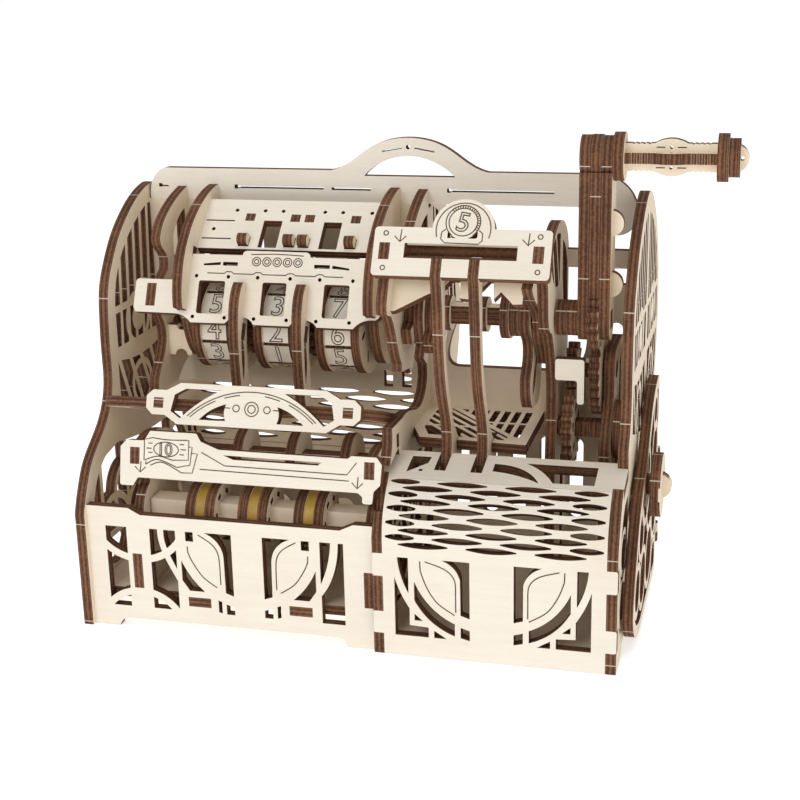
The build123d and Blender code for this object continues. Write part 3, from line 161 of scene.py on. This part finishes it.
def plywood(name, axis, face=PALE, seed=0.0, grain="X", low=0.0, extra=None, only=None):
    """Birch plywood: pale faces square to the axis, and burnt edges whose plies start at low."""
    g = Graph(name)
    position = g.node("ShaderNodeTexCoord").outputs["Object"]
    geometry = g.node("ShaderNodeNewGeometry")
    turn = g.node("ShaderNodeVectorTransform", vector_type="NORMAL",
                  convert_from="WORLD", convert_to="OBJECT")
    g.link(geometry.outputs["True Normal"], turn.inputs[0])
    normal = g.vector("NORMALIZE", turn.outputs[0])
    direction = axis(g, position)
    facing = g.math("ABSOLUTE", g.vector("DOT_PRODUCT", normal, direction))
    is_face = g.remap(facing, 0.70, 0.82)
    if extra:
        is_face = g.math("MAXIMUM", is_face, extra(g, position, normal))
    if only:
        is_face = only(g, position, normal)

    # the faces: long grain, soft clouds and a few darker fibres
    shifted = g.vector("ADD", position, (seed, seed * 0.37, seed * 0.73))
    stretch = GRAIN_STRETCH[grain]
    long_grain = g.noise(g.vector("MULTIPLY", shifted, stretch), 5.0, 4.0, 0.6)
    clouds = g.noise(shifted, 16.0, 2.0)
    fine = g.vector("MULTIPLY", shifted, tuple(2.4 * s for s in stretch))
    fibre = g.remap(g.noise(fine, 7.0, 2.0), 0.63, 0.74)
    deep = tuple(c * k for c, k in zip(face, (0.90, 0.84, 0.75)))
    light = tuple(min(1.0, c * k) for c, k in zip(face, (1.03, 1.035, 1.05)))
    colour = g.mix(g.remap(long_grain, 0.36, 0.66, smooth=True), light, face)
    colour = g.mix(g.math("MULTIPLY", g.remap(clouds, 0.45, 0.75), 0.45), colour, deep)
    colour = g.mix(g.math("MULTIPLY", fibre, 0.28), colour, TAN)

    # the edges: each ply has a lighter core and rims, and scorch marks the laser left across it
    along = g.math("SUBTRACT", g.vector("DOT_PRODUCT", position, direction), low)
    ply = g.math("FRACT", g.math("MULTIPLY", along, 1 / (SHEET * MM)))
    rim = g.math("MULTIPLY", g.math("ABSOLUTE", g.math("SUBTRACT", ply, 0.5)), 2.0)
    layer = g.math("COSINE", g.math("MULTIPLY", rim, 2.2 * pi))
    scorch = g.noise(shifted, 900.0, 2.0, 0.7)
    blotch = g.noise(shifted, 60.0, 3.0)
    tone = g.math("ADD", g.math("MULTIPLY", layer, 0.24), g.math("MULTIPLY", scorch, 0.95))
    tone = g.math("ADD", tone, g.math("MULTIPLY", blotch, 0.75))
    edge = g.mix(g.remap(tone, 0.62, 1.12), BURNT, BURNT_LIGHT)
    edge = g.mix(g.math("MULTIPLY", g.math("GREATER_THAN", rim, 0.90), 0.75), edge, SEAM)
    if not only:
        parts = g.split(normal)
        rise = g.math("GREATER_THAN", g.math("ABSOLUTE", parts[1]), g.math("ABSOLUTE", parts[2]))
        y, z = g.split(position)[1], g.split(position)[2]
        level = g.math("MULTIPLY", y, g.math("SUBTRACT", 1.0, rise))
        run = g.math("ADD", g.math("MULTIPLY", z, rise), level)
        cell = g.math("FRACT", g.math("ADD", g.math("MULTIPLY", run, 1 / (NICK_PITCH * MM)), seed * 7.3))
        nick = g.math("LESS_THAN", g.math("ABSOLUTE", g.math("SUBTRACT", cell, 0.5)), 0.0045)
        edge = g.mix(g.math("MULTIPLY", nick, 0.6), edge, PALE)
    g.link(g.mix(is_face, edge, colour), g.shader.inputs["Base Color"])
    g.link(g.remap(is_face, 0.0, 1.0, 0.82, 0.62), g.shader.inputs["Roughness"])
    g.shader.inputs["Specular IOR Level"].default_value = 0.3
    bump = g.node("ShaderNodeBump")
    bump.inputs["Strength"].default_value = 0.25
    bump.inputs["Distance"].default_value = 0.0004
    rough_edge = g.math("MULTIPLY", scorch, g.math("SUBTRACT", 1.15, is_face))
    g.link(g.math("ADD", rough_edge, g.math("MULTIPLY", long_grain, 0.25)), bump.inputs["Height"])
    g.link(bump.outputs[0], g.shader.inputs["Normal"])
    return g.material


def scorched(name):
    """Lines burnt into a face: almost black, with browner stretches."""
    g = Graph(name)
    position = g.node("ShaderNodeTexCoord").outputs["Object"]
    tone = g.remap(g.noise(position, 220.0, 3.0), 0.35, 0.7)
    g.link(g.mix(tone, LINE, (0.13, 0.075, 0.045)), g.shader.inputs["Base Color"])
    g.shader.inputs["Roughness"].default_value = 0.85
    return g.material


def rubber(name):
    """A yellow-brown rubber band, a little cloudy and scuffed."""
    g = Graph(name)
    position = g.node("ShaderNodeTexCoord").outputs["Object"]
    cloud = g.remap(g.noise(position, 130.0, 4.0), 0.3, 0.7)
    g.link(g.mix(cloud, (0.34, 0.20, 0.02), (0.50, 0.31, 0.045)), g.shader.inputs["Base Color"])
    g.link(g.remap(cloud, 0.0, 1.0, 0.55, 0.42), g.shader.inputs["Roughness"])
    bump = g.node("ShaderNodeBump")
    bump.inputs["Strength"].default_value = 0.2
    bump.inputs["Distance"].default_value = 0.0003
    g.link(g.noise(position, 700.0, 2.0), bump.inputs["Height"])
    g.link(bump.outputs[0], g.shader.inputs["Normal"])
    return g.material


def slope_axis(lean):
    """The axis of a plate that leans back by lean degrees."""
    return (0.0, -cos(radians(lean)), sin(radians(lean)))


def grip_faces(g, position, normal):
    """On the grip, the crossed plates' own faces, as well as the discs' faces."""
    _, y, z = g.split(position)
    _, ny, nz = g.split(normal)
    centre = place(0, CRANK[0], GRIP_Z)
    near_y = g.math("LESS_THAN", g.math("ABSOLUTE", g.math("SUBTRACT", y, centre.y)), 2.2 * MM)
    near_z = g.math("LESS_THAN", g.math("ABSOLUTE", g.math("SUBTRACT", z, centre.z)), 2.2 * MM)
    upright = g.math("MULTIPLY", near_y, g.math("GREATER_THAN", g.math("ABSOLUTE", ny), 0.95))
    flat = g.math("MULTIPLY", near_z, g.math("GREATER_THAN", g.math("ABSOLUTE", nz), 0.95))
    return g.math("MAXIMUM", upright, flat)


def drum_tiles(g, position, normal):
    """On a digit wheel, only the outer faces of the ten tiles."""
    _, y, z = g.split(position)
    centre = place(0, *COUNTER)
    radial = g.join(0.0, g.math("SUBTRACT", y, centre.y), g.math("SUBTRACT", z, centre.z))
    far = g.math("GREATER_THAN", g.vector("LENGTH", radial), 16.2 * MM)
    outward = g.vector("DOT_PRODUCT", normal, g.vector("NORMALIZE", radial))
    return g.math("MULTIPLY", far, g.math("GREATER_THAN", outward, 0.9))


def shaft_sides(g, position, normal):
    """On the feed shaft, every side, between thin dark lines of glue."""
    line = g.math("FRACT", g.math("MULTIPLY", g.split(position)[2], 1 / (1.3 * MM)))
    return g.math("LESS_THAN", line, 0.85)


def hopper_faces(g, position, normal):
    """On the coin hopper, the sloping plate's own faces and the shelf's level ones."""
    sloping = g.math("ABSOLUTE", g.vector("DOT_PRODUCT", normal, slope_axis(30)))
    level = g.math("ABSOLUTE", g.split(normal)[2])
    return g.math("MAXIMUM", g.math("GREATER_THAN", sloping, 0.97), g.math("GREATER_THAN", level, 0.95))


def axle_plate_faces(g, position, normal):
    """Right of the inner frame, the small axle plate's own faces."""
    right = g.math("GREATER_THAN", g.split(position)[0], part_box("inner_frame")[0].x + (SHEET + 0.05) * MM)
    return g.math("MULTIPLY", right, g.math("GREATER_THAN", g.math("ABSOLUTE", g.split(normal)[1]), 0.95))


def knob_faces(g, position, normal):
    """On the knob, the fin's own faces."""
    x = g.split(position)[0]
    outside = g.math("GREATER_THAN", x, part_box("door_knob")[1].x - 4.2 * MM)
    return g.math("MULTIPLY", outside, g.math("GREATER_THAN", g.math("ABSOLUTE", g.split(normal)[1]), 0.97))


X_AXIS, Y_AXIS, Z_AXIS = (1, 0, 0), (0, 1, 0), (0, 0, 1)
COIN_BEND = [(41, 0), (53.2, 16), (59.4, 34), (64.2, 48), (67, 60), (68, 78)]
REAR_BEND = [(40, 4), (92, 20)]
AXES = {
    "note_box_front": Y_AXIS, "carry_handle_plate": Y_AXIS, "left_back_wall": Y_AXIS,
    "right_back_wall": Y_AXIS, "brace_bar": Y_AXIS, "corner_bracket": Y_AXIS, "crank_pins": Y_AXIS,
    "note_slot_plate": slope_axis(12), "nameplate": slope_axis(20), "counter_face_plate": slope_axis(25),
    "coin_slot_plate": slope_axis(30), "roof_plate": slope_axis(47),
    "note_chute": slope_axis(-14), "nameplate_shelf": (0, sin(radians(20)), cos(radians(20))),
    "note_floor": Z_AXIS, "coin_floor": Z_AXIS, "coin_tray": Z_AXIS, "door_hinge": Z_AXIS,
    "crank_shaft": Z_AXIS, "feed_shaft": Y_AXIS, "press_shaft": Y_AXIS, "idler_shaft": Z_AXIS,
}
EXTRA_FACES = {"crank_grip": grip_faces, "door_knob": knob_faces, "feed_shaft": shaft_sides,
               "inner_frame": axle_plate_faces}
FRONT_PLATES = {"note_box_front", "note_slot_plate", "nameplate", "counter_face_plate", "coin_slot_plate",
                "carry_handle_plate", "coin_box_front", "corner_bracket", "roof_plate"}
# Plates away from the front get a darker, warmer copy of the face colour: painted shade for the inside of
# the register.
PAINTED_SHADE_FACE = tuple(c * k for c, k in zip(PALE, (0.96, 0.90, 0.82)))

# Plates outside FRONT_PLATES, among them the rear cover and the coin hopper, take the painted-shade face
# colour.
for number, (name, node) in enumerate(sorted(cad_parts.items())):
    seed = 0.31 * number
    if name == "feed_roller_bands":
        material = rubber("rubber_band")
    elif name in ("coin_box_front", "rear_cover"):
        axis = bending_axis(COIN_BEND if name == "coin_box_front" else REAR_BEND)
        material = plywood("ply_" + name, axis, PALE if name in FRONT_PLATES else PAINTED_SHADE_FACE, seed)
    elif name.endswith("_drum"):
        material = plywood("ply_" + name, fixed_axis(X_AXIS), PALE, seed, only=drum_tiles)
    elif name == "coin_hopper":
        material = plywood("ply_" + name, fixed_axis(slope_axis(30)), PAINTED_SHADE_FACE, seed, only=hopper_faces)
    else:
        direction = AXES.get(name, X_AXIS)
        extra = EXTRA_FACES.get(name)
        low = min(v.co.dot(Vector(direction)) for v in node.data.vertices)
        grain = "Z" if direction == X_AXIS else "X"
        face = PALE if name in FRONT_PLATES else PAINTED_SHADE_FACE
        material = plywood("ply_" + name, fixed_axis(direction), face, seed, grain, low, extra)
    node.data.materials.clear()
    node.data.materials.append(material)

ENGRAVED = scorched("engraved_line")


# ---- engraved lines --------------------------------------------------------------------------
class Face:
    """A plate's front: drawn in X and height v up the plate, from layout y, z, leaning back."""

    def __init__(self, y, z, lean=0.0):
        self.y, self.z, self.lean = y, z, radians(lean)

    def matrix(self, u, v, lift=0.0):
        up = Vector((0, sin(self.lean), cos(self.lean)))
        out = Vector((0, -cos(self.lean), sin(self.lean)))
        spot = place(u, self.y, self.z) + (up * v + out * lift) * MM
        turned = Matrix((Vector((1, 0, 0)), up, out)).transposed().to_4x4()
        return Matrix.Translation(spot) @ turned


NOTE_BOX = Face(1.0, 0.0)
COIN_BOX = Face(-1.0, 0.0)
NOTE_SLOT = Face(5.0, 68.0, 12)
NAME = Face(9.0, 92.0, 20)
COUNTER_FACE = Face(38.4, 117.0, 25)
COIN_SLOT = Face(15.0, 144.0, 30)


def arc(centre, radius, start, stop, count=40, squash=1.0):
    """Points round a circle or an oval, from start to stop degrees."""
    points = []
    for i in range(count + 1):
        angle = radians(start + (stop - start) * i / count)
        points.append((centre[0] + radius * cos(angle), centre[1] + radius * squash * sin(angle)))
    return points


def smooth(points, steps=8):
    """A smooth line through points."""
    ends = [points[0], *points, points[-1]]
    line = []
    for a, b, c, d in zip(ends, ends[1:], ends[2:], ends[3:]):
        for i in range(steps):
            t = i / steps
            line.append(tuple(0.5 * (2 * q + (r - p) * t + (2 * p - 5 * q + 4 * r - s) * t * t +
                                     (3 * q - p - 3 * r + s) * t ** 3) for p, q, r, s in zip(a, b, c, d)))
    return line + [points[-1]]


def ribbon(bm, points, width, height):
    """A thin flat strip along points, closed if the last point is the first."""
    closed = (Vector(points[0]) - Vector(points[-1])).length < 1e-6
    flat = [Vector(p) for p in (points[:-1] if closed else points)]
    rows = []
    for i, point in enumerate(flat):
        before = flat[i - 1] if closed or i else flat[0]
        after = flat[(i + 1) % len(flat)] if closed or i + 1 < len(flat) else flat[-1]
        run = after - before
        side = Vector((-run.y, run.x)).normalized() * (width / 2)
        rows.append([bm.verts.new(((point + s * side).x * MM, (point + s * side).y * MM, h * MM))
                     for s, h in ((1, 0), (1, height), (-1, height), (-1, 0))])
    pairs = list(zip(rows, rows[1:] + ([rows[0]] if closed else [])))
    for a, b in pairs:
        for k in range(4):
            bm.faces.new((a[k], a[(k + 1) % 4], b[(k + 1) % 4], b[k]))
    if not closed:
        bm.faces.new(rows[0][::-1])
        bm.faces.new(rows[-1])


FINE_LINE = 0.4              # width of the closer engraved lines, millimetres
LIFT, HEIGHT = -0.02, 0.07   # a line starts just inside the face and stands this high


def engrave(name, body, face, lines, width=0.45):
    """Dark lines on a plate's front, as one piece."""
    bm = bmesh.new()
    for line in lines:
        ribbon(bm, line, width, HEIGHT)
    bmesh.ops.recalc_face_normals(bm, faces=bm.faces)
    return add_piece(name, body, bm, face.matrix(0, 0, LIFT))


def add_piece(name, body, bm, matrix, material=ENGRAVED):
    mesh = bpy.data.meshes.new(name)
    bm.to_mesh(mesh)
    bm.free()
    mesh.transform(matrix)
    mesh.materials.append(material)
    piece = bpy.data.objects.new(name, mesh)
    bpy.context.scene.collection.objects.link(piece)
    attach(piece, body)
    return piece


def numeral(text, height, line):
    """The outline of a number as a mesh, centred, in metres."""
    curve = bpy.data.curves.new("numeral", "FONT")
    curve.body = text
    curve.size = height / 0.72 * MM
    curve.align_x, curve.align_y = "CENTER", "CENTER"
    curve.fill_mode = "NONE"
    curve.bevel_depth = line / 2 * MM
    curve.bevel_resolution = 1
    maker = bpy.data.objects.new("numeral", curve)
    bpy.context.scene.collection.objects.link(maker)
    bpy.context.view_layer.update()
    mesh = bpy.data.meshes.new_from_object(maker.evaluated_get(bpy.context.evaluated_depsgraph_get()))
    bpy.data.objects.remove(maker)
    bpy.data.curves.remove(curve)
    low = Vector([min(v.co[k] for v in mesh.vertices) for k in range(3)])
    high = Vector([max(v.co[k] for v in mesh.vertices) for k in range(3)])
    middle = (low + high) / 2
    for v in mesh.vertices:
        v.co = v.co - middle
        v.co.z *= 0.35
    return mesh


def add_numeral(name, body, text, height, matrix, line=0.34):
    mesh = numeral(text, height, line)
    mesh.transform(matrix)
    mesh.materials.clear()
    mesh.materials.append(ENGRAVED)
    piece = bpy.data.objects.new(name, mesh)
    bpy.context.scene.collection.objects.link(piece)
    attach(piece, body)


def flipped(line, middle):
    return [(2 * middle - u, v) for u, v in line]


def arrow(u, top, low, wing=2.2):
    return [[(u + 0.3, top), (u, low)], [(u - wing, low + wing), (u, low), (u + wing, low + wing)]]


# note box: a leaf's two veins each side of the middle
NOTE_MIDDLE, COIN_MIDDLE = 66.4, 162.6
veins = [smooth([(46.5, 41.6), (52.1, 38), (54.5, 33.8), (54.9, 27)]) + [(54.9, 21.3)],
         [(41.8, 36.4)] + smooth([(41.9, 34), (43.5, 30.2), (47.6, 24.1), (53.3, 20)])]
engrave("note_box_lines", "body", NOTE_BOX, veins + [flipped(v, NOTE_MIDDLE) for v in veins])
veins = [smooth([(137.4, 39), (145, 36.4), (148.6, 32.4), (149, 26)]) + [(149, 19.4)],
         [(135.4, 39)] + smooth([(135.6, 35), (138, 28.6), (142, 22.6), (148.6, 18.2)])]
engrave("coin_box_lines", "body", COIN_BOX, veins + [flipped(v, COIN_MIDDLE) for v in veins])

# note slot plate: arrows, guide lines and a generic banknote
note = [[(24.4, 9.6)] + smooth([(28, 10.4), (34, 9.9), (42.8, 10.2)]) + [(42.7, 2.5)] +
        smooth([(36, 2.1), (30, 3.3), (24.3, 1.4)]) + [(24.4, 9.6)],
        [(42.8, 7.6), (44.2, 7.6), (43.4, 0.6)] + smooth([(38, -0.6), (30, 2), (25, -0.2)]) + [(25.2, 1.2)],
        [(44.1, 5.2), (46.4, 5.2), (44.4, -2.4)] + smooth([(40, -2.6), (32, 1), (27, -0.4)]),
        arc((33.4, 6.1), 5.1, 0, 360, 40, 0.56)]
note += [[(26, y), (27.8, y)] for y in (4.6, 8.2)] + [[(39, y), (40.8, y)] for y in (4.4, 8.4)]
note += [[(25.3, 6.2), (27.4, 6.2)], [(39.4, 6.4), (41.6, 6.4)]]
guides = [[(48, 5.9), (57.5, 1.3), (106.4, 1.0), (110, 5.8)], [(47.4, -0.7), (107.2, -1.3)]]
arrows = arrow(22.8, 0.9, -3.4) + arrow(110.5, 0.4, -4.0)
engrave("note_slot_lines", "body", NOTE_SLOT, note + guides + arrows, FINE_LINE)
add_numeral("note_value", "body", "10", 4.7, NOTE_SLOT.matrix(33.4, 6.1), 0.42)

# nameplate: a double arch over a plain ornament
def arch(radius, low, high):
    centre = (68.4, 5.9 - 37.2)
    return arc(centre, radius, low, high, 30)


lines = [arch(37.2, 46, 134), arch(36.2, 47, 66), arch(36.2, 114, 133)]
lines += [arch(36.1, 72, 82), arch(36.1, 98, 108)]
lines += [arc((68.4, -0.6), r, 0, 360, 36) for r in (1.5, 2.7)]
for side in (-1, 1):
    lines.append(arc((68.4 + side * 6.2, -0.6), 1.3, 0, 360, 24))
    lines.append([(68.4 + side * 8.6, -0.6), (68.4 + side * 11, -0.6)])
engrave("nameplate_lines", "body", NAME, lines, FINE_LINE)

# counter face: five coin rings under an arched line, and a line with bumps above the windows
ledge = [(38.3, 20.0)]
for u in (47.5, 59.7, 73.2, 85.4):
    ledge += [(u - 2, 20.0), (u - 1, 20.75), (u + 1, 20.75), (u + 2, 20.0)]
ledge.append((94.8, 20.0))
coins = [arc((u, 25.2), r, 0, 360, 24) for u in (58.6, 62.9, 67.2, 71.5, 75.8) for r in (1.75, 0.9)]
crown = smooth([(56, 28), (67, 28.4), (78, 28)])
engrave("counter_lines", "body", COUNTER_FACE, [ledge, crown] + coins, FINE_LINE)

# coin slot plate: arrows, rings and a generic coin standing in its tray
COIN = (147.5, 20.8)
rays = []
for a in range(-30, 140, 9):
    rays.append([(COIN[0] + r * cos(radians(a)), COIN[1] + r * sin(radians(a))) for r in (5.5, 6.3)])
tray = [(141.3, 17.9), (139.9, 16.8), (139.7, 14.2), (141.2, 12.7),
        (153.6, 12.5), (155.1, 13.8), (155, 16.6), (153.6, 17.8)]
lines = [arc((147.8, 18), 10.1, -18, 198), arc(COIN, 6.4, -52, 232), arc(COIN, 5.3, 0, 360), tray]
lines += rays + arrow(124.6, 17.4, 12.7) + arrow(172, 17.2, 12.5)
lines += [arc((u, v), 0.85, 0, 360, 20) for u in (119.1, 176.2) for v in (2.6, 15.9)]
engrave("coin_slot_lines", "body", COIN_SLOT, lines, FINE_LINE)
slanted = COIN_SLOT.matrix(*COIN) @ Matrix.Rotation(radians(-10), 4, "Z")
add_numeral("coin_value", "body", "5", 7.5, slanted, 0.48)

# digit wheels: one digit on each of the ten faces of each drum
DRUM_R = 17.3 * cos(pi / 10)
FIRST_ANGLE = 138.5          # where the digit in the window faces, degrees round the axle
DIGIT_HEIGHT = 8.6
for wheel, first in (("hundreds", 5), ("tens", 3), ("units", 7)):
    low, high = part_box(wheel + "_drum")
    middle = (low.x + high.x) / 2
    for k in range(10):
        angle = radians(FIRST_ANGLE + 36 * k)
        out = Vector((0, cos(angle), sin(angle)))
        up = Vector((0, sin(angle), -cos(angle)))
        centre = place(0, *COUNTER) + out * DRUM_R * MM
        turned = Matrix((X_AXIS, up, out)).transposed().to_4x4()
        spot = Matrix.Translation((middle, centre.y, centre.z)) @ turned
        digit = str((first - k) % 10)
        add_numeral(f"{wheel}_digit_{k}", wheel + "_wheel", digit, DIGIT_HEIGHT, spot, 0.46)

# ---- floor, light and camera -----------------------------------------------------------------
FLOOR_HALF, FLOOR_Z = 25.0, -0.0002
floor_mesh = bpy.data.meshes.new("floor")
corners = [(-1, -1), (1, -1), (1, 1), (-1, 1)]
floor_mesh.from_pydata([(x * FLOOR_HALF, y * FLOOR_HALF, FLOOR_Z) for x, y in corners], [], [(0, 1, 2, 3)])
floor = bpy.data.objects.new("floor", floor_mesh)
bpy.context.scene.collection.objects.link(floor)
g = Graph("pale_floor")
g.shader.inputs["Base Color"].default_value = (0.92, 0.92, 0.92, 1)
g.shader.inputs["Roughness"].default_value = 0.9
g.shader.inputs["Emission Color"].default_value = (1, 1, 1, 1)
g.shader.inputs["Emission Strength"].default_value = 0.58
floor_mesh.materials.append(g.material)

world = bpy.data.worlds.new("studio")
world.use_nodes = True
world.node_tree.nodes["Background"].inputs["Color"].default_value = (1.0, 0.99, 0.98, 1)
world.node_tree.nodes["Background"].inputs["Strength"].default_value = 0.47
bpy.context.scene.world = world


def softbox(name, spot, target, size, power, colour=(1, 1, 1)):
    light = bpy.data.lights.new(name, "AREA")
    light.shape, light.size, light.energy, light.color = "SQUARE", size, power, colour
    lamp = bpy.data.objects.new(name, light)
    lamp.location = spot
    lamp.rotation_euler = (Vector(target) - Vector(spot)).to_track_quat("-Z", "Y").to_euler()
    bpy.context.scene.collection.objects.link(lamp)


softbox("key", (-0.35, -1.3, 0.95), (0, 0, 0.09), 0.8, 7.6)
softbox("fill", (1.3, -0.6, 0.7), (0, 0, 0.09), 1.2, 2.5, (1, 0.98, 0.95))
softbox("top", (0.1, 0.3, 1.6), (0, 0, 0.09), 1.2, 4.4)

YAW, PITCH, ROLL = radians(14.73), radians(16.92), radians(-1.24)
forward = Vector((-sin(YAW) * cos(PITCH), cos(YAW) * cos(PITCH), -sin(PITCH)))
right = Vector((cos(YAW), sin(YAW), 0))
upward = right.cross(forward)
camera_right = right * cos(ROLL) + upward * sin(ROLL)
camera_up = upward * cos(ROLL) - right * sin(ROLL)
camera_data = bpy.data.cameras.new("camera")
camera_data.lens, camera_data.sensor_width = 67.2, 36.0
camera = bpy.data.objects.new("camera", camera_data)
camera.matrix_world = (Matrix.Translation(place(260.4, -499.9, 258.4)) @
                       Matrix((camera_right, camera_up, -forward)).transposed().to_4x4())
bpy.context.scene.collection.objects.link(camera)
bpy.context.scene.camera = camera
bpy.context.scene.view_settings.view_transform = "Standard"
